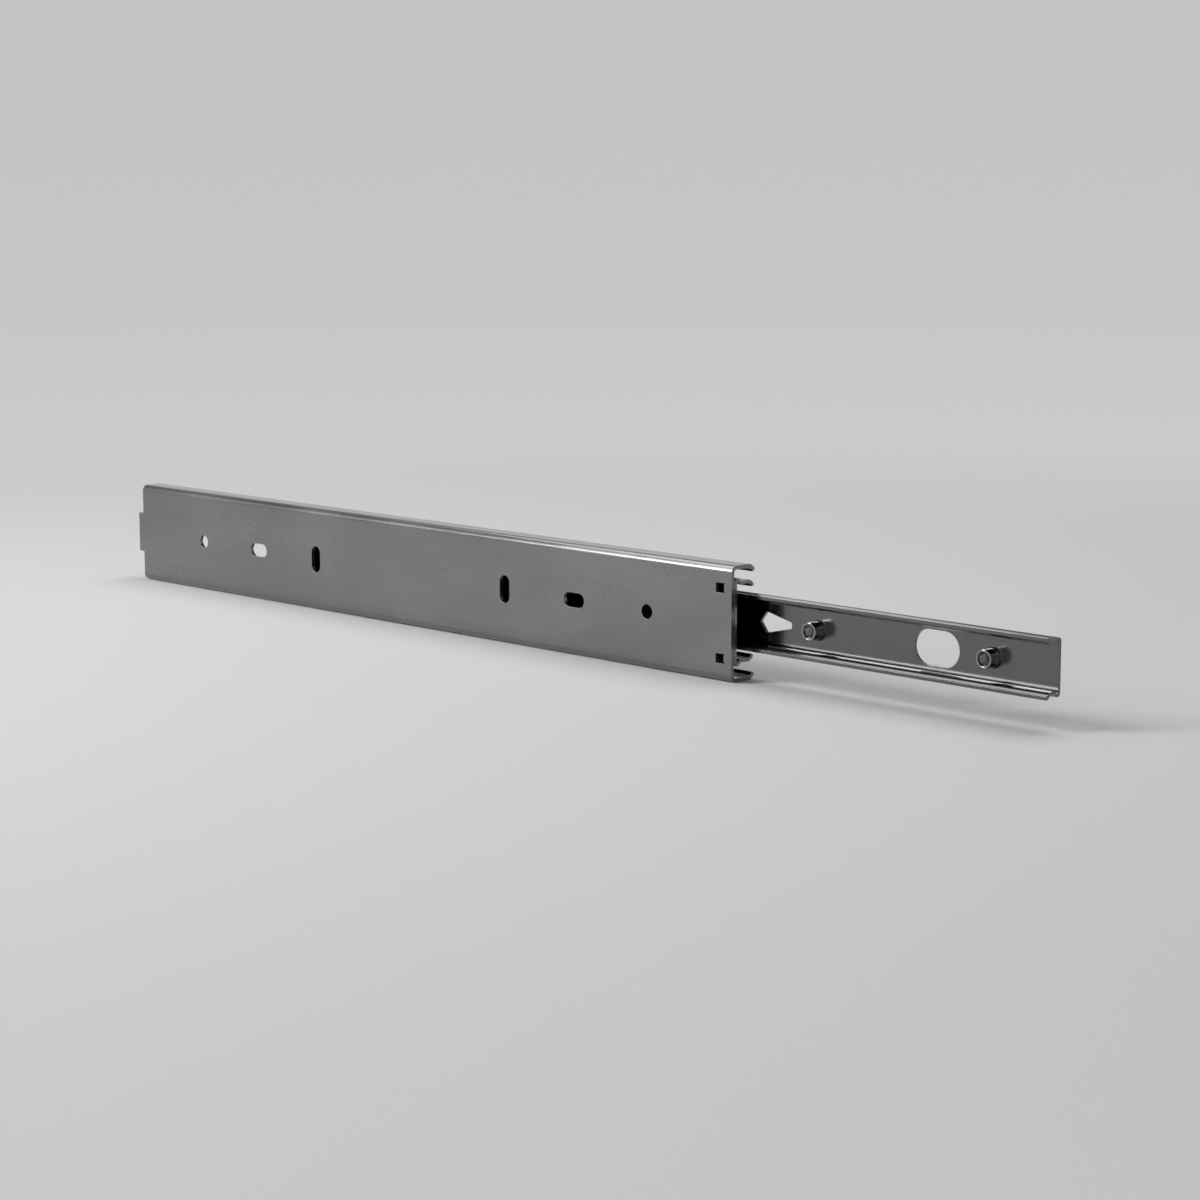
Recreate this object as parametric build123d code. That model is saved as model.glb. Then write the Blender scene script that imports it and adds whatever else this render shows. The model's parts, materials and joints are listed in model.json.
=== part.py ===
"""Full-extension ball-bearing drawer slide, left hand, 35 mm high and 300 mm long.

Three roll-formed steel channels run inside one another on rows of steel balls. The cabinet member is
screwed to the cabinet wall, the drawer member to the drawer side, and the intermediate member floats
between them. The slide is drawn partly open: the drawer member is pulled out by `opened`.

X runs from the cabinet wall (0) to the drawer side, Y from the front to the back, Z up. The origin is
the middle of the cabinet member's front edge, on the face that lies against the cabinet wall.
"""
import os
from math import asin, atan2, cos, degrees, hypot, radians, sin, sqrt, tan

from build123d import *

# Overall size of the closed slide
height = 35.0
depth = 12.7
length = 300.0
opened = 110.0

# Sheet thickness of each member and of the retainers
cabinet_sheet = 1.2
intermediate_sheet = 1.0
drawer_sheet = 1.0
retainer_sheet = 0.5

# Balls: five thirty-seconds of an inch, with a small running clearance in the grooves
ball_radius = 3.97 / 2
ball_clearance = 0.06
pocket_clearance = 0.10
pocket_sides = 24
groove_radius = ball_radius + ball_clearance
row_offset_x = 2.0
row_offset_z = 4.9
ball_corner_count = 64
golden_angle = 180 * (3 - sqrt(5))

# Where the webs stand, measured from the cabinet wall to the middle of the sheet
cabinet_web = cabinet_sheet / 2
intermediate_web = 4.1
drawer_web = depth - drawer_sheet / 2
outer_retainer_web = 1.75
inner_retainer_web = 5.15

# Centres of the upper ball rows in the section: (x, z)
inner_row_x = 9.2
cabinet_groove = groove_radius + cabinet_sheet / 2
outer_row = (inner_row_x - row_offset_x, height / 2 - cabinet_sheet / 2 - cabinet_groove)
inner_row = (inner_row_x, outer_row[1] - row_offset_z)

# Roll-formed corners, as radii in the middle of the sheet, and groove ends, as angles from +X
cabinet_bend = 1.6
intermediate_bend = 0.72
drawer_bend = 0.7
drawer_lip_bend = 0.6
retainer_bend = 0.8
lip_angle = 30.0
intermediate_flank = 225.0
drawer_flank = 308.0
drawer_lip_flank = 220.0
drawer_lip_rise = 0.35
drawer_lip_end = 6.4
lip_land = 0.25

# Ends of the members along Y
cabinet_flange_end = length - 4.0
intermediate_front = 2.0
member_back = 289.0
drawer_front = -opened
drawer_back = member_back - opened

# Ball rows along Y: retainer length, ball pitch and the first ball's distance from the retainer's end
outer_retainer_length = 128.0
outer_retainer_front = 80.0
outer_ball_count = 7
inner_retainer_length = 90.0
inner_retainer_front = 81.0 - opened / 2
inner_ball_count = 5
row_margin = 9.0
retainer_tie = 5.0
retainer_window_height = 11.2
outer_strip_drop = 4.6
outer_strip_reach = 2.0
inner_flange_reach = 2.1

# Fixings in the drawer member, measured from its front end
collar_places = (22.0, 86.0, 214.0)
collar_outer_radius = 2.65
collar_bore_radius = 2.1
collar_height = 4.5
collar_flare = 0.5
access_places = (42.0, 170.0)
access_length = 16.2
access_height = 10.4
kite_tip = 96.5
kite_widest = 106.5
kite_back = 109.0
kite_half_height = 3.2
kite_tip_half_height = 0.9
kite_corner = 0.5

# Fixings in the cabinet member and access windows in the intermediate member, along Y
screw_radius = 2.3
screw_places = (35.0, 259.0)
slot_places = (67.0, 227.0)
slot_length = 9.0
height_slot_places = (99.0, 195.0)
window_places = (51.0, 243.0)
window_length = 50.0

# Lugs lanced out of the webs
lug_width = 2.4
lug_side_gap = 0.3
cabinet_lug_y = 3.6
cabinet_lug_height = 1.5
stop_lug_z = 10.6
intermediate_rear_lug_y = member_back - 4.0
intermediate_rear_lug_height = 1.8
retainer_lug_y = 4.6
retainer_lug_z = 6.9
retainer_lug_height = 1.2
catch_lug_y = 89.3
catch_lug_z = 1.7
catch_lug_width = 3.0
catch_lug_height = 2.2

# Rear stop: the bent-up end of the cabinet member and the rubber bumper plugged into it
tab_half_width = 7.0
tab_top = 10.4
tab_bend = 1.2
tab_corner = 3.0
bumper_gap = 0.3
bumper_x = (2.4, 11.6)
bumper_half_width = 6.8
bumper_corner = 1.6
plug_radius = 2.0
plug_x = 6.6
plug_head_radius = 3.2
plug_head_length = 1.4

# Release lever, with its outline measured from the pivot
pivot_place = 262.0
lever_x = (9.3, 11.6)
lever_boss_radius = 3.6
hook_reach = 22.0
hook_x = 5.7
hook_low = -0.6
hook_high = 3.4
hook_tip_width = 1.2
hook_slope_end = -15.5
tail_reach = 22.0
tail_low = -5.0
tail_high = -2.0
tail_root_high = 1.6
lever_corner = 0.4
thumb_x = 7.0
thumb_length = 5.0
pivot_radius = 1.5
pivot_clearance = 0.05
rivet_head_radius = 2.8
rivet_head_height = 0.9
rivet_gap = 0.1
rivet_flare = 0.6
spring_sheet = 0.4
spring_x = (9.8, 11.2)
spring_root = (0.6, 2.6)
spring_bend = (4.2, 2.6)
spring_middle = (11.0, 4.9)
spring_tip = (17.0, 6.0)


def on_arc(centre, radius, angle):
    """A point on a circle in the section."""
    return (centre[0] + radius * cos(radians(angle)), centre[1] + radius * sin(radians(angle)))


def corner(centre, radius, start, end):
    """Where the tangents of an arc's two ends meet: the vertex that a fillet turns back into the arc."""
    middle = (start + end) / 2
    half_span = abs(end - start) / 2
    return on_arc(centre, radius / cos(radians(half_span)), middle)


def flank_corner(web, centre, radius, angle):
    """Where the tangent at a groove's end runs into the web."""
    x, z = on_arc(centre, radius, angle)
    return (web, z - (web - x) / tan(radians(angle)))


def sheet_section(upper_half, radii, thickness):
    """A channel section: the middle line of its upper half, mirrored below and thickened."""
    lower_half = [(x, -z) for x, z in reversed(upper_half)]
    line = FilletPolyline(*lower_half, *upper_half, radius=[*reversed(radii), *radii])
    return trace(line, line_width=thickness)


def along_y(section, front, back):
    """Run a section, drawn with X across and Z up, from front to back."""
    plane = Plane(origin=(0, front, 0), x_dir=(1, 0, 0), z_dir=(0, -1, 0))
    return extrude(plane * section, amount=back - front, dir=(0, 1, 0))


def along_x(outline, low, high, y, z=0.0):
    """Run an outline, drawn with Y across and Z up about a point, from one depth to another."""
    plane = Plane(origin=(low, y, z), x_dir=(0, 1, 0), z_dir=(1, 0, 0))
    return extrude(plane * outline, amount=high - low)


def through_web(outline, web, y, z=0.0):
    """A cutter through a web: an outline drawn with Y across and Z up."""
    return along_x(outline, web - cabinet_sheet, web + cabinet_sheet, y, z)


def bent_strip(points, bend, thickness, low, high):
    """A strip bent in the XY plane, between two heights."""
    line = FilletPolyline(*points, radius=[bend])
    return extrude(Pos(0, 0, low) * trace(line, line_width=thickness), amount=high - low)


def add_lug(member, web, thickness, y, z, width, rise, side):
    """Lance a lug out of a web and bend it square; side is +1 towards the drawer, -1 towards the cabinet."""
    bend = thickness
    window = Rectangle(rise + 2 * bend, width + 2 * lug_side_gap)
    member -= through_web(window, web, y + rise / 2, z)
    tip = web + side * (thickness / 2 + rise)
    points = [(web, y - 2 * bend), (web, y), (tip, y)]
    return member + bent_strip(points, bend, thickness, z - width / 2, z + width / 2)


def make_cabinet_member():
    """Outer channel: its flanges curl over the outer balls; the rear of the web is bent up as a stop."""
    top = height / 2 - cabinet_sheet / 2
    lip = on_arc(outer_row, cabinet_groove, lip_angle)
    land = (lip[0] + lip_land * sin(radians(lip_angle)), lip[1] - lip_land * cos(radians(lip_angle)))
    upper_half = [(cabinet_web, top), corner(outer_row, cabinet_groove, 90, lip_angle), land]
    section = sheet_section(upper_half, [cabinet_bend, cabinet_groove], cabinet_sheet)
    member = along_y(section, 0, cabinet_flange_end)
    tab_y = length - cabinet_sheet / 2
    tab_points = [(cabinet_web, cabinet_flange_end - 1), (cabinet_web, tab_y), (tab_top, tab_y)]
    tab = bent_strip(tab_points, tab_bend, cabinet_sheet, -tab_half_width, tab_half_width)
    member += fillet(tab.edges().filter_by(Axis.Y).sort_by(Axis.X)[-2:], tab_corner)
    member -= Pos(plug_x, length, 0) * Rot(90, 0, 0) * Cylinder(plug_radius, 4 * cabinet_sheet)
    for y in screw_places:
        member -= through_web(Circle(screw_radius), cabinet_web, y)
    for y in slot_places:
        member -= through_web(SlotOverall(slot_length, 2 * screw_radius), cabinet_web, y)
    for y in height_slot_places:
        member -= through_web(Rot(0, 0, 90) * SlotOverall(slot_length, 2 * screw_radius), cabinet_web, y)
    for z in (stop_lug_z, -stop_lug_z):
        member = add_lug(
            member, cabinet_web, cabinet_sheet, cabinet_lug_y, z, lug_width, cabinet_lug_height, 1
        )
    return member


def make_intermediate_member():
    """Middle channel: each flange dips under the outer balls and rises over the inner ones."""
    groove = groove_radius + intermediate_sheet / 2
    between = (inner_row[0] - outer_row[0], inner_row[1] - outer_row[1])
    tilt = degrees(atan2(between[1], between[0]) + asin(2 * groove / hypot(*between)))
    lip = on_arc(inner_row, groove, lip_angle)
    land = (lip[0] + lip_land * sin(radians(lip_angle)), lip[1] - lip_land * cos(radians(lip_angle)))
    upper_half = [
        flank_corner(intermediate_web, outer_row, groove, intermediate_flank),
        corner(outer_row, groove, intermediate_flank, 270 + tilt),
        corner(inner_row, groove, 90 + tilt, lip_angle),
        land,
    ]
    section = sheet_section(upper_half, [intermediate_bend, groove, groove], intermediate_sheet)
    member = along_y(section, intermediate_front, member_back)
    for y in window_places:
        member -= through_web(SlotOverall(window_length, access_height), intermediate_web, y)
    for side in (1, -1):
        member = add_lug(
            member, intermediate_web, intermediate_sheet, intermediate_rear_lug_y,
            side * stop_lug_z, lug_width, intermediate_rear_lug_height, -1,
        )
        member = add_lug(
            member, intermediate_web, intermediate_sheet, retainer_lug_y,
            side * retainer_lug_z, lug_width, retainer_lug_height, 1,
        )
    return add_lug(
        member, intermediate_web, intermediate_sheet, catch_lug_y,
        catch_lug_z, catch_lug_width, catch_lug_height, 1,
    )


def make_collar(y):
    """A collar drawn out of the drawer member's web, with a soft flare where it leaves the sheet."""
    rim = (collar_outer_radius, drawer_sheet + collar_height)
    flare_centre = (collar_outer_radius + collar_flare, drawer_sheet + collar_flare)
    flare = [on_arc(flare_centre, collar_flare, angle) for angle in (180, 225, 270)]
    half = make_face(Polyline((0, 0), (0, rim[1]), rim, *flare, (flare[-1][0], 0), close=True))
    turned = revolve(Plane.XZ * half, Axis.Z)
    return Pos(depth, y, 0) * Rot(0, -90, 0) * turned


def kite_outline():
    """Kite cut-out: a blunt tip to the front, the widest place near the back and a short rear point."""
    points = [
        (kite_tip, kite_tip_half_height),
        (kite_widest, kite_half_height),
        (kite_back, 0),
        (kite_widest, -kite_half_height),
        (kite_tip, -kite_tip_half_height),
    ]
    outline = make_face(Polyline(*points, close=True))
    return fillet(outline.vertices(), kite_corner)


def make_drawer_member():
    """Inner channel on the drawer side: a ball groove along each flange, and the fixings in its web."""
    groove = groove_radius + drawer_sheet / 2
    rise_angle = drawer_lip_flank - 90
    root = on_arc(inner_row, groove, drawer_lip_flank)
    lip_corner = on_arc(root, drawer_lip_rise, rise_angle)
    upper_half = [
        flank_corner(drawer_web, inner_row, groove, drawer_flank),
        corner(inner_row, groove, drawer_flank, drawer_lip_flank),
        lip_corner,
        (drawer_lip_end, lip_corner[1]),
    ]
    section = sheet_section(upper_half, [drawer_bend, groove, drawer_lip_bend], drawer_sheet)
    member = along_y(section, drawer_front, drawer_back)
    for place in collar_places:
        member += make_collar(drawer_front + place)
    for place in collar_places:
        bore = Cylinder(collar_bore_radius, 4 * collar_height, rotation=(0, 90, 0))
        member -= Pos(depth, drawer_front + place, 0) * bore
    for place in access_places:
        slot = SlotOverall(access_length, access_height)
        member -= through_web(slot, drawer_web, drawer_front + place)
    member -= through_web(kite_outline(), drawer_web, drawer_front)
    return member - make_lever_rivet()


def row_places(front, total_length, count):
    """Evenly spaced ball places along a retainer."""
    pitch = (total_length - 2 * row_margin) / (count - 1)
    return [front + row_margin + index * pitch for index in range(count)]


outer_places = row_places(outer_retainer_front, outer_retainer_length, outer_ball_count)
inner_places = row_places(inner_retainer_front, inner_retainer_length, inner_ball_count)


def pocket(row, y):
    """The hole that holds one ball in a retainer's flange, kept light with short flat sides."""
    hole = RegularPolygon(ball_radius + pocket_clearance, pocket_sides, major_radius=False)
    return Pos(row[0], y, row[1]) * extrude(hole, amount=2 * retainer_sheet, both=True)


def make_upper_outer_retainer():
    """Angle strip that lies along the cabinet member's web and spaces the outer balls."""
    x, z = outer_row
    points = [(outer_retainer_web, z - outer_strip_drop), (outer_retainer_web, z), (x + outer_strip_reach, z)]
    line = FilletPolyline(*points, radius=[retainer_bend])
    section = trace(line, line_width=retainer_sheet)
    strip = along_y(section, outer_retainer_front, outer_retainer_front + outer_retainer_length)
    for y in outer_places:
        strip -= pocket(outer_row, y)
    return strip


def make_inner_retainer():
    """Channel strip that spaces both inner rows; its web is open between two end ties."""
    x, z = inner_row
    upper_half = [(inner_retainer_web, z), (x + inner_flange_reach, z)]
    section = sheet_section(upper_half, [retainer_bend], retainer_sheet)
    back = inner_retainer_front + inner_retainer_length
    strip = along_y(section, inner_retainer_front, back)
    window = RectangleRounded(inner_retainer_length - 2 * retainer_tie, retainer_window_height, 2)
    strip -= through_web(window, inner_retainer_web, (inner_retainer_front + back) / 2)
    for y in inner_places:
        strip -= pocket(inner_row, y)
        strip -= pocket((x, -z), y)
    return strip


def ball_corner(index):
    """One of `ball_corner_count` places spread evenly over the ball along a golden-angle spiral."""
    z = 1 - (2 * index + 1) / ball_corner_count
    x, y = on_arc((0, 0), sqrt(1 - z * z), index * golden_angle)
    return (ball_radius * x, ball_radius * y, ball_radius * z)


def make_ball(row, y):
    """One bearing ball, kept light: small flat facets whose corners lie on the true sphere."""
    corners = [ball_corner(index) for index in range(ball_corner_count)]
    return Pos(row[0], y, row[1]) * ConvexPolyhedron(corners)


def make_rear_bumper():
    """Rubber block on the bent-up rear end, held by a plug with a spread head."""
    front = member_back + bumper_gap
    back = length - cabinet_sheet
    block = Box(bumper_x[1] - bumper_x[0], back - front, 2 * bumper_half_width)
    block = fillet(block.edges().filter_by(Axis.Y), bumper_corner)
    block = chamfer(block.faces().sort_by(Axis.Y)[0].edges(), bumper_corner / 2)
    block = Pos(sum(bumper_x) / 2, (front + back) / 2, 0) * block
    stem = Cylinder(plug_radius, cabinet_sheet, align=(Align.CENTER, Align.CENTER, Align.MIN))
    head = Cone(
        plug_head_radius, plug_radius, plug_head_length, align=(Align.CENTER, Align.CENTER, Align.MIN)
    )
    plug = stem + Pos(0, 0, cabinet_sheet) * head
    return block + Pos(plug_x, back, 0) * Rot(-90, 0, 0) * plug


def make_lever_spring():
    """Thin leaf rooted in the lever's boss; its tip bears on the upper flange."""
    line = Line(spring_root, spring_bend) + ThreePointArc(spring_bend, spring_middle, spring_tip)
    strip = trace(line, line_width=spring_sheet)
    return along_x(strip, *spring_x, drawer_front + pivot_place)


def make_release_lever():
    """Moulded catch: a hook with a sloped back in front of the pivot and a thumb piece behind it."""
    low_x, high_x = lever_x
    pivot_y = drawer_front + pivot_place
    front_arm = [
        (-hook_reach, hook_low),
        (-hook_reach, hook_high),
        (0, lever_boss_radius),
        (0, -lever_boss_radius),
        (hook_slope_end, hook_low),
    ]
    hook = [
        (-hook_reach, hook_low),
        (-hook_reach, hook_high),
        (-hook_reach + hook_tip_width, hook_high),
        (hook_slope_end, hook_low),
    ]
    thumb = [
        (tail_reach - thumb_length, tail_low),
        (tail_reach, tail_low),
        (tail_reach, tail_high),
        (tail_reach - thumb_length, tail_high),
    ]
    tail = [(0, tail_root_high), (0, -lever_boss_radius), *thumb[:3]]
    plate = make_face(Polyline(*front_arm, close=True)) + make_face(Polyline(*tail, close=True))
    plate = fillet((plate + Circle(lever_boss_radius)).vertices(), lever_corner)
    catch = fillet(make_face(Polyline(*hook, close=True)).vertices(), lever_corner)
    press = fillet(make_face(Polyline(*thumb, close=True)).vertices(), lever_corner)
    lever = along_x(plate, low_x, high_x, pivot_y)
    lever += along_x(catch, hook_x, high_x, pivot_y)
    lever += along_x(press, thumb_x, high_x, pivot_y)
    lever -= along_x(Circle(pivot_radius + pivot_clearance), low_x, high_x, pivot_y)
    return lever - make_lever_spring()


def make_lever_rivet():
    """Rivet that carries the lever: a round head inside, set flush with the drawer face."""
    head_top = lever_x[0] - rivet_gap - rivet_head_height
    half = make_face(Polyline(
        (0, 0),
        (rivet_head_radius, 0),
        (rivet_head_radius, rivet_head_height),
        (pivot_radius, rivet_head_height),
        (pivot_radius, depth - head_top - rivet_flare),
        (pivot_radius + rivet_flare, depth - head_top),
        (0, depth - head_top),
        close=True,
    ))
    turned = revolve(Plane.XZ * half, Axis.Z)
    return Pos(head_top, drawer_front + pivot_place, 0) * Rot(0, 90, 0) * turned


upper_outer_retainer = make_upper_outer_retainer()
pieces = {
    "cabinet_member": make_cabinet_member(),
    "intermediate_member": make_intermediate_member(),
    "drawer_member": make_drawer_member(),
    "upper_outer_retainer": upper_outer_retainer,
    "lower_outer_retainer": mirror(upper_outer_retainer, about=Plane.XY),
    "inner_retainer": make_inner_retainer(),
    "rear_bumper": make_rear_bumper(),
    "release_lever": make_release_lever(),
    "lever_spring": make_lever_spring(),
    "lever_rivet": make_lever_rivet(),
}
rows = {
    "outer_ball": (outer_row, outer_places),
    "inner_ball": (inner_row, inner_places),
}
for name, (row, places) in rows.items():
    for number, y in enumerate(places, start=1):
        pieces[f"upper_{name}_{number}"] = make_ball(row, y)
        pieces[f"lower_{name}_{number}"] = make_ball((row[0], -row[1]), y)

os.makedirs("parts", exist_ok=True)
for name, shape in pieces.items():
    shape.label = name
    export_step(shape, f"parts/{name}.step")
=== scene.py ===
# %% [markdown]
# # A ball-bearing drawer slide
# The slide comes to us as exact solids: three steel channels that telescope on rows of balls. We load
# those solids as a fixed frame, give every surface a finish, and add the forms that are too fine for
# them, such as screw threads and rounded rims. The solids could be modelled again here, but they carry
# the real sizes and the motion, so we only add what the eye needs.

import json
from math import asin, cos, pi, radians, sin

import bmesh
import bpy
from mathutils import Matrix, Vector
from mathutils.geometry import intersect_line_line


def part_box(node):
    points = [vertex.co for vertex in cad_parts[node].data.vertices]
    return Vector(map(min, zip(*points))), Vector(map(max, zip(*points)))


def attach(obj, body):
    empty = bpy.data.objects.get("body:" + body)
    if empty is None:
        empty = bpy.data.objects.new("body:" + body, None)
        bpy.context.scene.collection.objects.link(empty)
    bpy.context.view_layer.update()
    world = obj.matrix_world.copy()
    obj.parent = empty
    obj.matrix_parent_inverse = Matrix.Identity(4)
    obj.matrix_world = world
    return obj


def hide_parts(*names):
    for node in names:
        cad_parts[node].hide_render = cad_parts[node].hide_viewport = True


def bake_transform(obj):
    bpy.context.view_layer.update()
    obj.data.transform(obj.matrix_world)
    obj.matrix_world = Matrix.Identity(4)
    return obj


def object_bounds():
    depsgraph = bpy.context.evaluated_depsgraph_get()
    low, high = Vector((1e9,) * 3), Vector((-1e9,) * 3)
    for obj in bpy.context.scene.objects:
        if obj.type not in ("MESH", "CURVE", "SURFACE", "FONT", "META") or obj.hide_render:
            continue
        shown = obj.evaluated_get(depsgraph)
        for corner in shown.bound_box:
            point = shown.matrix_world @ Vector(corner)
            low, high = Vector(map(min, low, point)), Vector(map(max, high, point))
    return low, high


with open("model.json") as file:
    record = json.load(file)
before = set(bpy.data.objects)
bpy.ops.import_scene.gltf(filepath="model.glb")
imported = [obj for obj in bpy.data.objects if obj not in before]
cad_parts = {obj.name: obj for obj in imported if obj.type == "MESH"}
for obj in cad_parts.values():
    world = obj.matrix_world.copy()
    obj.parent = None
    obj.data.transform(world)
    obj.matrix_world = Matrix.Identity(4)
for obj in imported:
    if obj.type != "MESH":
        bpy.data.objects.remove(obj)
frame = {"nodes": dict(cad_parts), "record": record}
cad_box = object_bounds()
nodes = frame["nodes"]
mounts = {mount["name"]: mount for mount in frame["record"]["mounts"]}
mm = 0.001
print(f"{len(nodes)} solids, from {tuple(cad_box[0])} to {tuple(cad_box[1])}")

# %% [markdown]
# ## Camera
# The slide is seen from its wall side and from the front, a little above the rail. The lens is long, so
# that its edges stay nearly parallel. We place the camera by two angles and a distance, which are easier
# to read and to correct than a position and a rotation. The camera looks at the middle of the slide, and
# the pulled-out end, which is nearer to it, is then seen about fifty degrees from the rail.

# %% Camera
view_azimuth = radians(-44.3)
view_elevation = radians(8.8)
view_distance = 0.883
field_of_view = radians(23.9)
look_at = Vector((0.006, 0.0615, 0.0))

level = cos(view_elevation)
away = Vector((sin(view_azimuth) * level, -cos(view_azimuth) * level, sin(view_elevation)))
lens = bpy.data.cameras.new("camera")
lens.angle = field_of_view
lens.clip_start = 0.01
camera = bpy.data.objects.new("camera", lens)
camera.location = look_at + view_distance * away
camera.rotation_euler = (-away).to_track_quat("-Z", "Y").to_euler()
bpy.context.scene.collection.objects.link(camera)
bpy.context.scene.camera = camera
bpy.context.scene.view_settings.view_transform = "Standard"
print(f"camera at {tuple(round(c, 3) for c in camera.location)}")

# %% [markdown]
# ## Shader maths
# A finish is a small calculation: how cloudy is the plating here, how deep is this streak? Wiring Math
# nodes by hand hides that, so a socket is wrapped in a class that understands +, - and *. Every other
# node comes from one method, which sets the node's options first and then fills its sockets.


# %% Sockets that calculate
class Wire:
    """A shader socket that takes part in arithmetic."""

    def __init__(self, finish, socket):
        self.finish = finish
        self.socket = socket

    def math(self, operation, first, second):
        return self.finish.node("ShaderNodeMath", {"operation": operation}, {0: first, 1: second})

    def __add__(self, other):
        return self.math("ADD", self, other)

    __radd__ = __add__

    def __sub__(self, other):
        return self.math("SUBTRACT", self, other)

    def __rsub__(self, other):
        return self.math("SUBTRACT", other, self)

    def __mul__(self, other):
        return self.math("MULTIPLY", self, other)

    __rmul__ = __mul__

    def above(self, low, high):
        """0 below low, 1 above high and a smooth step between them."""
        settings = {"interpolation_type": "SMOOTHSTEP"}
        return self.finish.node("ShaderNodeMapRange", settings, {0: self, 1: low, 2: high})


# %% [markdown]
# ## A finish
# Each finish is one Principled surface. Its patterns read Object coordinates, which are metres here, so a
# noise scale of 50 gives clouds of about 20 mm. Real edges are never quite sharp. A Bevel node rounds the
# shading over them, and comparing the rounded normal with the flat one gives a mask of those edges, where
# plating is rubbed. A strip of extra faces along every edge could do the same, at a much higher cost.


# %% A finish
class Finish:
    """A material with one Principled surface."""

    def __init__(self, name):
        self.material = bpy.data.materials.new(name)
        self.material.use_nodes = True
        self.tree = self.material.node_tree
        self.surface = self.tree.nodes["Principled BSDF"]
        self.place = self.node("ShaderNodeTexCoord", output="Object")

    def node(self, kind, settings=None, inputs=None, output=0):
        """Add a node: its options first, then a value or a link for each socket."""
        made = self.tree.nodes.new(kind)
        for key, value in (settings or {}).items():
            setattr(made, key, value)
        for key, value in (inputs or {}).items():
            self.fill(made.inputs[key], value)
        return Wire(self, made.outputs[output])

    def fill(self, socket, value):
        if isinstance(value, Wire):
            self.tree.links.new(value.socket, socket)
        else:
            socket.default_value = value

    def surface_inputs(self, inputs):
        for key, value in inputs.items():
            self.fill(self.surface.inputs[key], value)

    def mix(self, factor, first, second):
        """Two colours mixed; inputs 6 and 7 and output 2 are the Mix node's colour sockets."""
        return self.node("ShaderNodeMix", {"data_type": "RGBA"}, {0: factor, 6: first, 7: second}, 2)

    def noise(self, scale, detail=3.0, stretch=(1.0, 1.0, 1.0)):
        """Noise on the object's own coordinates, with its grain stretched along the axes."""
        grain = self.node("ShaderNodeMapping", inputs={"Vector": self.place, "Scale": stretch})
        return self.node("ShaderNodeTexNoise", inputs={"Vector": grain, "Scale": scale, "Detail": detail})

    def soft_edges(self, radius):
        """The surface normal, rounded over the edges, and a mask that is 1 on those edges."""
        rounded = self.node("ShaderNodeBevel", {"samples": 6}, {"Radius": radius})
        flat = self.node("ShaderNodeNewGeometry", output="Normal")
        settings = {"operation": "DOT_PRODUCT"}
        alike = self.node("ShaderNodeVectorMath", settings, {0: rounded, 1: flat}, "Value")
        least_turn, most_turn = 0.004, 0.12  # 1 minus the cosine of 5 and of 28 degrees
        return rounded, (1.0 - alike).above(least_turn, most_turn)

    def bump(self, height, depth, strength, normal):
        """A normal that follows a height, on top of another normal."""
        inputs = {"Strength": strength, "Distance": depth, "Height": height, "Normal": normal}
        return self.node("ShaderNodeBump", inputs=inputs)


def grey(value, warmth=0.0):
    """A grey in linear light; warmth lifts red and lowers blue."""
    return (value * (1 + warmth), value, value * (1 - warmth), 1.0)


# %% [markdown]
# ## Rolled and plated steel
# The three channels are rolled from strip and plated. They are dark and satin, with slightly cloudy
# plating under a clear film, so the metal gets a smoother coat over it. Faint lines run along the rolling
# direction: noise stretched a hundredfold along Y. The drawer member is polished the most, and its weaker
# lines keep the light on its rolled bulges in one clean streak. Three separate node trees could do this,
# but one function with a few numbers keeps the channels alike.


# %% Plated steel
sheet_edge = 0.16 * mm
line_depth = 0.004 * mm
coat_roughness = 0.12


def plated_steel(name, tone, warmth, roughness, cloudiness, line_strength):
    finish = Finish(name)
    clouds = finish.noise(55.0, 4.0, stretch=(1.0, 0.45, 1.0))
    blotches = finish.noise(260.0, 3.0)
    streaks = finish.noise(1.0, 4.0, stretch=(2600.0, 14.0, 2600.0))
    hairlines = finish.noise(1.0, 2.0, stretch=(7000.0, 40.0, 7000.0)).above(0.62, 0.74)
    rounded, edge = finish.soft_edges(sheet_edge)
    cloud = clouds.above(0.34, 0.68)
    shade = 0.55 * cloud * cloudiness + 0.25 * streaks + 0.2 * blotches
    plain = finish.mix(shade, grey(tone * 0.86, warmth), grey(tone * 1.2, warmth * 0.4))
    lined = finish.mix(hairlines * 0.3, plain, grey(tone * 1.7))
    finish.surface_inputs({
        "Base Color": finish.mix(edge * 0.5, lined, grey(tone * 2.2)),
        "Metallic": 1.0,
        "Roughness": roughness + 0.09 * cloud * cloudiness + 0.07 * streaks + 0.1 * edge,
        "Coat Weight": 1.0,
        "Coat Roughness": coat_roughness,
        "Normal": finish.bump(streaks + 0.4 * hairlines, line_depth, line_strength, rounded),
    })
    return finish


def dress(finish, *names):
    """Put a finish on solids by name."""
    for name in names:
        nodes[name].material_slots[0].material = finish.material
    print(f"{finish.material.name}: {', '.join(names)}")


drawer_plate = plated_steel(
    "drawer_plate", tone=0.105, warmth=0.03, roughness=0.17, cloudiness=0.4, line_strength=0.1
)
intermediate_plate = plated_steel(
    "intermediate_plate", tone=0.19, warmth=0.01, roughness=0.18, cloudiness=0.7, line_strength=0.3
)
cabinet_plate = plated_steel(
    "cabinet_plate", tone=0.18, warmth=0.01, roughness=0.2, cloudiness=0.7, line_strength=0.3
)
dress(drawer_plate, "drawer_member")
dress(intermediate_plate, "intermediate_member")
dress(cabinet_plate, "cabinet_member")

# %% [markdown]
# ## Retainers and spring
# The retainers are thin bright strip, and the spring is tempered and slightly straw coloured. Both are
# drawn and not plated, so they get coarser marks along Y, some stain, and no coat. The plated finish
# could serve with other numbers, but its coat would make the strip too smooth.


# %% Strip
strip_edge = 0.08 * mm


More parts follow.
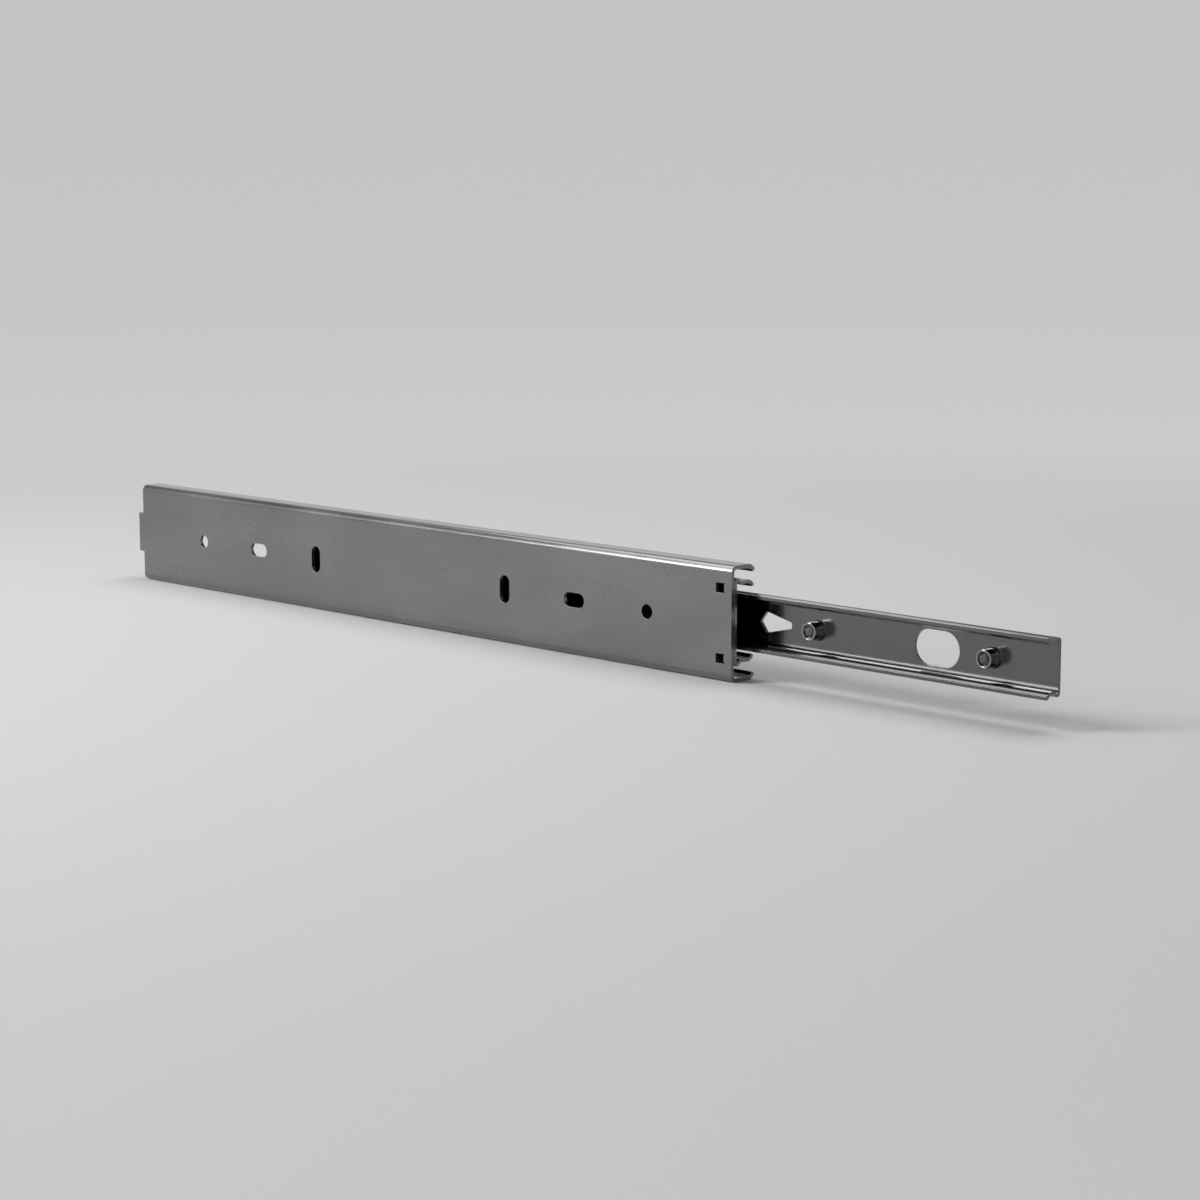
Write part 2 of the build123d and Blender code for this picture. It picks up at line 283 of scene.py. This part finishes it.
def bright_strip(name, tone, warmth):
    finish = Finish(name)
    drawn = finish.noise(1.0, 3.0, stretch=(1900.0, 26.0, 1900.0))
    stain = finish.noise(90.0, 4.0).above(0.4, 0.75)
    rounded, edge = finish.soft_edges(strip_edge)
    colour = finish.mix(0.5 * drawn + 0.4 * stain, grey(tone, warmth), grey(tone * 0.7, warmth * 2))
    finish.surface_inputs({
        "Base Color": finish.mix(edge * 0.4, colour, grey(tone * 1.5)),
        "Metallic": 1.0,
        "Roughness": 0.24 + 0.12 * drawn + 0.1 * stain,
        "Normal": finish.bump(drawn, line_depth, 0.5, rounded),
    })
    return finish


retainer_strip = bright_strip("retainer_strip", tone=0.34, warmth=0.02)
spring_strip = bright_strip("spring_strip", tone=0.22, warmth=0.08)
dress(retainer_strip, "upper_outer_retainer", "lower_outer_retainer", "inner_retainer")
dress(spring_strip, "lever_spring")

# %% [markdown]
# ## Rivet
# The rivet is turned, so its marks run in rings about its axis. A Wave texture, moved to that axis, draws
# rings too, but working them out shows how a pattern follows a shape: the distance from the axis is the
# length of the place vector once its X is dropped, and the sine of that distance gives the rings.


# %% Turned steel
rivet_edge = 0.14 * mm
ring_depth = 0.006 * mm
ring_frequency = 42000.0  # radians per metre: a ring every 0.15 mm


def turned_steel(name, tone, centre):
    finish = Finish(name)
    settings = {"operation": "SUBTRACT"}
    from_axis = finish.node("ShaderNodeVectorMath", settings, {0: finish.place, 1: tuple(centre)})
    settings = {"operation": "MULTIPLY"}
    across = finish.node("ShaderNodeVectorMath", settings, {0: from_axis, 1: (0.0, 1.0, 1.0)})
    radius = finish.node("ShaderNodeVectorMath", {"operation": "LENGTH"}, {0: across}, "Value")
    rings = finish.node("ShaderNodeMath", {"operation": "SINE"}, {0: radius * ring_frequency})
    wander = finish.noise(700.0, 2.0)
    rounded, edge = finish.soft_edges(rivet_edge)
    mark = (0.5 + 0.5 * rings) * wander
    colour = finish.mix(mark, grey(tone * 0.8), grey(tone * 1.2))
    finish.surface_inputs({
        "Base Color": finish.mix(edge * 0.4, colour, grey(tone * 1.8)),
        "Metallic": 1.0,
        "Roughness": 0.2 + 0.16 * mark,
        "Normal": finish.bump(mark, ring_depth, 0.5, rounded),
    })
    return finish


rivet_low, rivet_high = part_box("lever_rivet")
rivet_turned = turned_steel("rivet_turned", tone=0.26, centre=(rivet_low + rivet_high) / 2)
dress(rivet_turned, "lever_rivet")

# %% [markdown]
# ## Moulded pieces
# The release lever is black plastic with the fine grain of its mould, and the rear bumper is dull rubber
# that holds dust. Both are nearly black, so what we see of them is the change in gloss: the grain goes
# into roughness and bump more than into colour.


# %% Plastic and rubber
def moulded(name, tone, dust, roughness, grain_scale, grain_depth, edge_radius):
    finish = Finish(name)
    grain = finish.noise(grain_scale, 4.0)
    flow = finish.noise(140.0, 3.0, stretch=(1.0, 0.3, 1.0)).above(0.35, 0.7)
    rounded, edge = finish.soft_edges(edge_radius)
    colour = finish.mix(0.6 * flow + 0.4 * grain, grey(tone), grey(tone * 1.5, 0.02))
    finish.surface_inputs({
        "Base Color": finish.mix(dust * (edge + flow * grain), colour, grey(0.09, 0.04)),
        "Roughness": roughness + 0.18 * grain + 0.08 * flow,
        "Normal": finish.bump(grain, grain_depth, 0.8, rounded),
    })
    return finish


lever_plastic = moulded(
    "lever_plastic", tone=0.02, dust=0.25, roughness=0.32,
    grain_scale=4200.0, grain_depth=0.02 * mm, edge_radius=0.3 * mm,
)
bumper_rubber = moulded(
    "bumper_rubber", tone=0.017, dust=0.5, roughness=0.55,
    grain_scale=2600.0, grain_depth=0.03 * mm, edge_radius=0.6 * mm,
)
dress(lever_plastic, "release_lever")
dress(bumper_rubber, "rear_bumper")

# %% [markdown]
# ## From a profile to a piece
# Each new form starts as a few vertices, the corners of a profile. A corner can be bevelled into an arc,
# and the profile is then spun about an axis. Typing out the rings of points would work as well, but the
# operators say what is meant, and a radius stays a single number.


# %% Profiles
merge_distance = 0.0005 * mm
steps_round = 56


def polyline(form, points, closed=False):
    """Vertices joined by edges, as a profile to spin."""
    verts = [form.verts.new(point) for point in points]
    pairs = list(zip(verts, verts[1:]))
    if closed:
        pairs.append((verts[-1], verts[0]))
    return verts, [form.edges.new(pair) for pair in pairs]


def bevel_corner(form, vert, radius, segments=8):
    """Round one corner of a profile."""
    bmesh.ops.bevel(
        form, geom=[vert], offset=radius, affect="VERTICES", segments=segments, profile=0.5, material=-1
    )


def full_turn(form, centre, axis, steps=steps_round):
    """Spin everything once about an axis and close the seam."""
    bmesh.ops.spin(
        form, geom=form.verts[:] + form.edges[:], cent=centre, axis=axis,
        angle=2 * pi, steps=steps, use_merge=True,
    )


def close_ends(form):
    """Fill every open loop of edges."""
    bmesh.ops.holes_fill(form, edges=[edge for edge in form.edges if edge.is_boundary])


# %% [markdown]
# Spinning can leave doubled points and faces that look inwards, so every form passes through one function
# that merges them, turns the faces outwards, smooths the shading and lets the piece ride on the body that
# carries it. A piece that flexes between two bodies comes without one.


# %% Finish a form
def clean(form):
    """Merge doubled points and turn the faces outwards."""
    bmesh.ops.remove_doubles(form, verts=form.verts, dist=merge_distance)
    bmesh.ops.recalc_face_normals(form, faces=form.faces)


def to_object(name, form, finish):
    """A smooth object at the origin, with its place in its mesh."""
    mesh = bpy.data.meshes.new(name)
    form.to_mesh(mesh)
    form.free()
    mesh.shade_smooth()
    mesh.materials.append(finish.material)
    made = bpy.data.objects.new(name, mesh)
    bpy.context.scene.collection.objects.link(made)
    return made


def make_piece(name, form, body, finish, sharp=40.0):
    """Clean a form and hand it over; edges that turn by more than sharp degrees stay crisp."""
    clean(form)
    piece = to_object(name, form, finish)
    piece.data.set_sharp_from_angle(angle=radians(sharp))
    if body:
        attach(piece, body)
    print(f"{name}: {len(piece.data.polygons)} faces")
    return piece


# %% [markdown]
# ## Bearing balls
# The solids of the balls are cut in flat facets, so that they stay light. What shows in the grooves should
# be round and polished, so each row of facets is replaced by a row of fine spheres in the same places.
# An icosphere has even faces and no poles, which suits a ball that is seen from every side.

# %% Polished balls
ball_radius = 3.97 / 2 * mm


def chrome(name, tone):
    finish = Finish(name)
    film = finish.noise(420.0, 3.0).above(0.4, 0.7)
    specks = finish.noise(2600.0, 2.0).above(0.66, 0.74)
    finish.surface_inputs({
        "Base Color": finish.mix(0.5 * film + 0.4 * specks, grey(tone), grey(tone * 0.72, 0.05)),
        "Metallic": 1.0,
        "Roughness": 0.05 + 0.1 * film + 0.12 * specks,
    })
    return finish


ball_chrome = chrome("ball_chrome", tone=0.56)
for row, body in (
    ("upper_outer", "outer_retainers"),
    ("lower_outer", "outer_retainers"),
    ("upper_inner", "inner_retainer"),
    ("lower_inner", "inner_retainer"),
):
    held = [name for name in nodes if name.startswith(f"{row}_ball_")]
    balls = bmesh.new()
    for name in held:
        low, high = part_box(name)
        centre = Matrix.Translation((low + high) / 2)
        bmesh.ops.create_icosphere(balls, subdivisions=4, radius=ball_radius, matrix=centre)
    piece = make_piece(f"{row}_balls", balls, body, ball_chrome)
    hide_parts(*held)

# %% [markdown]
# ## Threaded collars
# Three collars are drawn out of the drawer member's web and tapped. Their solids are plain, so each gets a
# thin skin with a rounded rim that catches the light and a soft sweep at its root. The sizes start from
# the drawer member's own box and from the bore in the record, so nothing has to be fitted by eye.

# %% Collar sizes
bore_radius = mounts["rear_drawer_collar"]["dims"]["r_mm"] * mm
drawer_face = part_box("drawer_member")[1].x
web_sheet = 1.0 * mm
web_inner_face = drawer_face - web_sheet
buried_face = (web_inner_face + drawer_face) / 2
skin = 0.03 * mm
collar_wall = 0.55 * mm
collar_height = 4.65 * mm
collar_outer = bore_radius + collar_wall + skin
collar_inner = bore_radius - skin
collar_rim_x = web_inner_face - collar_height
sweep_radius = 0.6 * mm
rim_radius = 0.2 * mm
print(f"collar: {2 * collar_outer / mm:.2f} mm across, bore {2 * bore_radius / mm:.2f} mm")

# %% [markdown]
# ## Drawn steel
# Drawing leaves marks along the collar and burnishes it. Its root is dull, and its colour there is
# darkened as painted shade, which hides the bright ring that the sweep would mirror. A mask along X
# separates the two and goes from 0 to 1 over the last stretch before the web. Two materials with a
# border between them would be simpler, but the border would show as a bright ring.


# %% Drawn steel
drawn_edge = 0.12 * mm
mark_depth = 0.003 * mm
dull_and_shade_length = 2 * sweep_radius


def drawn_steel(name, tone, dull_and_shade_from, dull_and_shade_to):
    """Bright steel marked along X that turns dull, and darkened as painted shade, between two places on X.
    """
    finish = Finish(name)
    marks = finish.noise(1.0, 3.0, stretch=(60.0, 2400.0, 2400.0))
    film = finish.noise(320.0, 3.0).above(0.4, 0.7)
    dull_and_shade = finish.node("ShaderNodeSeparateXYZ", inputs={0: finish.place}).above(dull_and_shade_from, dull_and_shade_to)
    rounded, edge = finish.soft_edges(drawn_edge)
    bright = finish.mix(0.5 * marks + 0.4 * film, grey(tone * 0.8, 0.02), grey(tone * 1.2, 0.01))
    # The root's darker colour is painted shade, hiding the ring that its sweep would mirror.
    bright_and_root_shade = finish.mix(dull_and_shade * 0.9, bright, grey(tone * 0.15))
    finish.surface_inputs({
        "Base Color": finish.mix(0.4 * edge * (1.0 - dull_and_shade), bright_and_root_shade, grey(tone * 1.5)),
        "Metallic": 1.0,
        "Roughness": 0.12 + 0.06 * marks + 0.06 * film + 0.3 * dull_and_shade,
        "Coat Weight": 1.0 - dull_and_shade,
        "Coat Roughness": coat_roughness,
        "Normal": finish.bump(marks, mark_depth, 0.5, rounded),
    })
    return finish


drawn_collar = drawn_steel("drawn_collar", 0.28, web_inner_face - dull_and_shade_length, web_inner_face)
print(f"{drawn_collar.material.name}: dull over {dull_and_shade_length / mm:.1f} mm")

# %% [markdown]
# ## Collar skin
# One closed profile is spun about the collar's axis. Its root and the two corners of its rim are bevelled
# first, so the sweep and the rim are true rounds. Bevelling the edges of a finished tube gives the same
# rounds, but then the right edges have to be found first. The skin's border lies inside the sheet, where
# it doesn't show.

# %% Collar skin
tuck = 0.2 * mm
hidden_edge = 0.3 * mm


def make_collar(name, y):
    """A skin over one collar; each corner is a place on X and a radius."""
    form = bmesh.new()
    at = Vector((0.0, y, 0.0))
    hidden_rim = collar_outer + sweep_radius + hidden_edge
    corners = [
        (buried_face, hidden_rim),
        (web_inner_face + skin, hidden_rim),
        (web_inner_face - skin, collar_outer),
        (collar_rim_x, collar_outer),
        (collar_rim_x, collar_inner),
        (drawer_face - skin, collar_inner),
        (drawer_face - skin, bore_radius + tuck),
        (buried_face, bore_radius + tuck),
    ]
    profile = [at + Vector((x, radius, 0.0)) for x, radius in corners]
    verts, _ = polyline(form, profile, closed=True)
    root, outer_rim, inner_rim = verts[2:5]
    bevel_corner(form, root, sweep_radius)
    bevel_corner(form, outer_rim, rim_radius)
    bevel_corner(form, inner_rim, rim_radius)
    full_turn(form, at, (1, 0, 0))
    make_piece(name, form, "drawer", drawn_collar)


# %% [markdown]
# ## Thread
# A tapped thread is a ridge that winds round the bore. Its section, which narrows towards a flat crest, is
# spun with a small step along the axis, and that makes a helix. A Screw modifier does the same, but this
# ridge also has to fade in and out: near both ends its crest is moved back into the wall.

# %% Thread
thread_pitch = 0.7 * mm
thread_height = 0.14 * mm
thread_turns = 6
thread_run_in = 0.6
thread_start = collar_rim_x + 2 * rim_radius
foot_shares = (0.03, 0.97)
crest_shares = (0.42, 0.58)
crest_middle = 0.5


def make_thread(name, y):
    """The ridge in one bore; the shares place its section's corners within one pitch."""
    form = bmesh.new()
    at = Vector((0.0, y, 0.0))
    foot = collar_inner + skin
    crest = collar_inner - thread_height
    shares = (foot_shares[0], *crest_shares, foot_shares[1])
    profile = [
        at + Vector((thread_start + share * thread_pitch, radius, 0.0))
        for share, radius in zip(shares, (foot, crest, crest, foot))
    ]
    verts, edges = polyline(form, profile, closed=True)
    bmesh.ops.spin(
        form, geom=verts + edges, cent=at, axis=(1, 0, 0), angle=2 * pi * thread_turns,
        steps=steps_round * thread_turns, dvec=(thread_pitch / steps_round, 0, 0),
    )
    close_ends(form)
    for vert in form.verts:
        outward = Vector((0.0, vert.co.y - y, vert.co.z))
        turns = (vert.co.x - thread_start) / thread_pitch - crest_middle
        grown = min(turns, thread_turns - turns) / thread_run_in
        if outward.length < (foot + crest) / 2 and grown < 1:
            vert.co += outward.normalized() * thread_height * (1 - max(grown, 0))
    make_piece(name, form, "drawer", drawn_collar, sharp=25.0)


# %% Collars in place
front_pair = mounts["drawer_collars"]
half_spacing = front_pair["dims"]["spacing_x_mm"] / 2 * mm
collar_places = {
    "front": front_pair["pos_m"][1] - half_spacing,
    "middle": front_pair["pos_m"][1] + half_spacing,
    "rear": mounts["rear_drawer_collar"]["pos_m"][1],
}
for name, y in collar_places.items():
    make_collar(f"{name}_collar_skin", y)
    make_thread(f"{name}_collar_thread", y)

# %% [markdown]
# ## Rivet crown
# The rivet that carries the lever has a low domed head. A squashed sphere would do from afar, but a dome
# is a true arc spun about the rivet's axis. The arc itself comes from spinning one vertex, so no list of
# points is needed.

# %% Domed rivet head
crown_inset = 0.05 * mm
crown_rise = 0.45 * mm
crown_radius = (rivet_high.y - rivet_low.y) / 2 - crown_inset
dome_radius = (crown_radius ** 2 + crown_rise ** 2) / (2 * crown_rise)
dome_half_angle = asin(crown_radius / dome_radius)
rivet_axis = Vector((0.0, (rivet_low.y + rivet_high.y) / 2, (rivet_low.z + rivet_high.z) / 2))
dome_top = rivet_axis + Vector((rivet_low.x - crown_rise, 0.0, 0.0))
dome_centre = dome_top + Vector((dome_radius, 0.0, 0.0))

crown = bmesh.new()
top = crown.verts.new(dome_top)
arc = bmesh.ops.spin(crown, geom=[top], cent=dome_centre, axis=(0, 0, 1), angle=dome_half_angle, steps=10)
foot = next(item for item in arc["geom_last"] if isinstance(item, bmesh.types.BMVert))
tucked = crown.verts.new(foot.co + Vector((tuck, 0.0, 0.0)))
crown.edges.new((foot, tucked))
full_turn(crown, rivet_axis, (1, 0, 0))
bmesh.ops.remove_doubles(crown, verts=crown.verts, dist=merge_distance)
close_ends(crown)
make_piece("rivet_crown", crown, "drawer", rivet_turned)

# %% [markdown]
# ## Lever spring
# A leaf spring flexes: its root turns with the lever while its tip stays against the drawer member. A
# rigid leaf would be pushed through the flange, and a finer leaf takes its place here, without a body. Its
# section is spun about the centre of the leaf's arc in short steps. The centre is where the perpendicular
# bisectors of two chords meet.

# %% Lever spring
leaf_low, leaf_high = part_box("lever_spring")
leaf_sheet = 0.4 * mm
leaf_root_length = 3.6 * mm
leaf_steps = 24
leaf_places = ((4.2, 2.6), (11.0, 4.9), (17.0, 6.0))  # along and up from the rivet, in mm
leaf_bend, leaf_middle, leaf_tip = (
    rivet_axis + Vector((leaf_low.x, along * mm, up * mm)) for along, up in leaf_places
)
width_axis = Vector((1.0, 0.0, 0.0))


def chord_bisector(first, second):
    """Two points on the line that halves a chord at a right angle."""
    middle = (first + second) / 2
    return middle, middle + width_axis.cross(second - first)


arc_centre, _ = intersect_line_line(
    *chord_bisector(leaf_bend, leaf_middle), *chord_bisector(leaf_middle, leaf_tip)
)
arc_angle = (leaf_bend - arc_centre).angle(leaf_tip - arc_centre)
outward = (leaf_bend - arc_centre).normalized() * leaf_sheet / 2
across = width_axis * (leaf_high.x - leaf_low.x)
section = (outward, -outward, across - outward, across + outward)
print(f"leaf arc: {arc_angle * (leaf_bend - arc_centre).length / mm:.1f} mm long")

# %% Leaf from its section
leaf = bmesh.new()
verts, edges = polyline(leaf, [leaf_bend + corner for corner in section], closed=True)
bmesh.ops.spin(
    leaf, geom=verts + edges, cent=arc_centre, axis=-width_axis, angle=arc_angle, steps=leaf_steps
)
extruded = bmesh.ops.extrude_edge_only(leaf, edges=edges)["geom"]
root = [item for item in extruded if isinstance(item, bmesh.types.BMVert)]
bmesh.ops.translate(leaf, verts=root, vec=(0.0, -leaf_root_length, 0.0))
close_ends(leaf)
leaf_piece = make_piece("lever_spring_leaf", leaf, None, spring_strip)
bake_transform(leaf_piece)
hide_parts("lever_spring")

# %% [markdown]
# ## Floor
# A pale bowl stands in for a studio sweep: flat under the slide, curving up far away, so that every view
# has the same plain ground and no horizon. Near the slide the paper is lit and takes the shadow. Further
# out it glows by itself, for the camera and for reflections only, at the tone that the lit part reaches.
# More lamps could even out the ground as well, but they would also light the steel.

# %% Floor paper
floor_colour = 0.4
backdrop_colour = 0.54
fibre_contrast = 0.015
lit_within, glows_beyond = 0.2, 0.75

paper = Finish("floor_paper")
fibre = paper.noise(900.0, 3.0)
distance = paper.node("ShaderNodeVectorMath", {"operation": "LENGTH"}, {0: paper.place}, "Value")
seen = sum(
    paper.node("ShaderNodeLightPath", output=f"Is {ray} Ray")
    for ray in ("Camera", "Glossy", "Transmission")
)
far = distance.above(lit_within, glows_beyond) * seen.above(0.0, 1.0)
lit = paper.mix(
    fibre, grey(floor_colour * (1 - fibre_contrast)), grey(floor_colour * (1 + fibre_contrast))
)
paper.surface_inputs({
    "Base Color": paper.mix(far, lit, grey(0.0)),
    "Roughness": 0.85,
    "Emission Color": paper.mix(far, grey(0.0), grey(backdrop_colour)),
    "Emission Strength": 1.0,
})
print(f"floor paper: lit within {lit_within} m")

# %% [markdown]
# The bowl's profile is one corner, bevelled and spun. A plane with a bent-up edge would show its two ends
# from the side.

# %% Floor bowl
floor_radius = 2.4
wall_height = 1.3
floor_curve = 0.9
floor_z = cad_box[0].z

bowl = bmesh.new()
profile = [(0, 0, floor_z), (floor_radius, 0, floor_z), (floor_radius, 0, floor_z + wall_height)]
verts, _ = polyline(bowl, profile)
bevel_corner(bowl, verts[1], floor_curve, segments=16)
full_turn(bowl, (0, 0, 0), (0, 0, 1), steps=96)
clean(bowl)
floor = to_object("floor", bowl, paper)
print(f"floor at {floor_z / mm:.1f} mm")

# %% [markdown]
# ## Light
# Polished channels show the lamps more than they show themselves, so the lamps are placed for what the
# steel mirrors. A tall panel to the left of the rear end draws the bright line along the rolled bulges,
# and a wide strip over the rear end gives the upper flanges their sheen. A soft lamp above the camera,
# another overhead and a quiet sky fill the rest, so that a colour renders about as it is written. Small
# lamps would be simpler to place, but they leave hot spots on steel.


# %% Lamps and sky
def softbox(name, place, width, height, watts):
    """A rectangular lamp that faces the slide; its width is level and its height is square to that."""
    lamp = bpy.data.lights.new(name, "AREA")
    lamp.shape = "RECTANGLE"
    lamp.size = width
    lamp.size_y = height
    lamp.energy = watts
    stand = bpy.data.objects.new(name, lamp)
    stand.location = place
    stand.rotation_euler = (look_at - Vector(place)).to_track_quat("-Z", "Y").to_euler()
    bpy.context.scene.collection.objects.link(stand)
    print(f"{name}: {watts} W")


softbox("rear_strip", (-0.22, 0.55, 0.78), width=1.2, height=0.3, watts=2.6)
softbox("tall_panel", (-0.83, 0.69, 0.73), width=0.42, height=0.95, watts=17.5)
softbox("camera_soft", (-0.9, -0.9, 1.1), width=0.9, height=0.9, watts=3.6)
softbox("overhead_soft", (0.45, 0.1, 1.2), width=0.8, height=0.8, watts=9.0)

sky_strength = 0.26
sky = bpy.data.worlds.new("sky")
sky.use_nodes = True
background = sky.node_tree.nodes["Background"]
background.inputs["Color"].default_value = grey(1.0)
background.inputs["Strength"].default_value = sky_strength
bpy.context.scene.world = sky
print(f"sky: strength {sky_strength}")
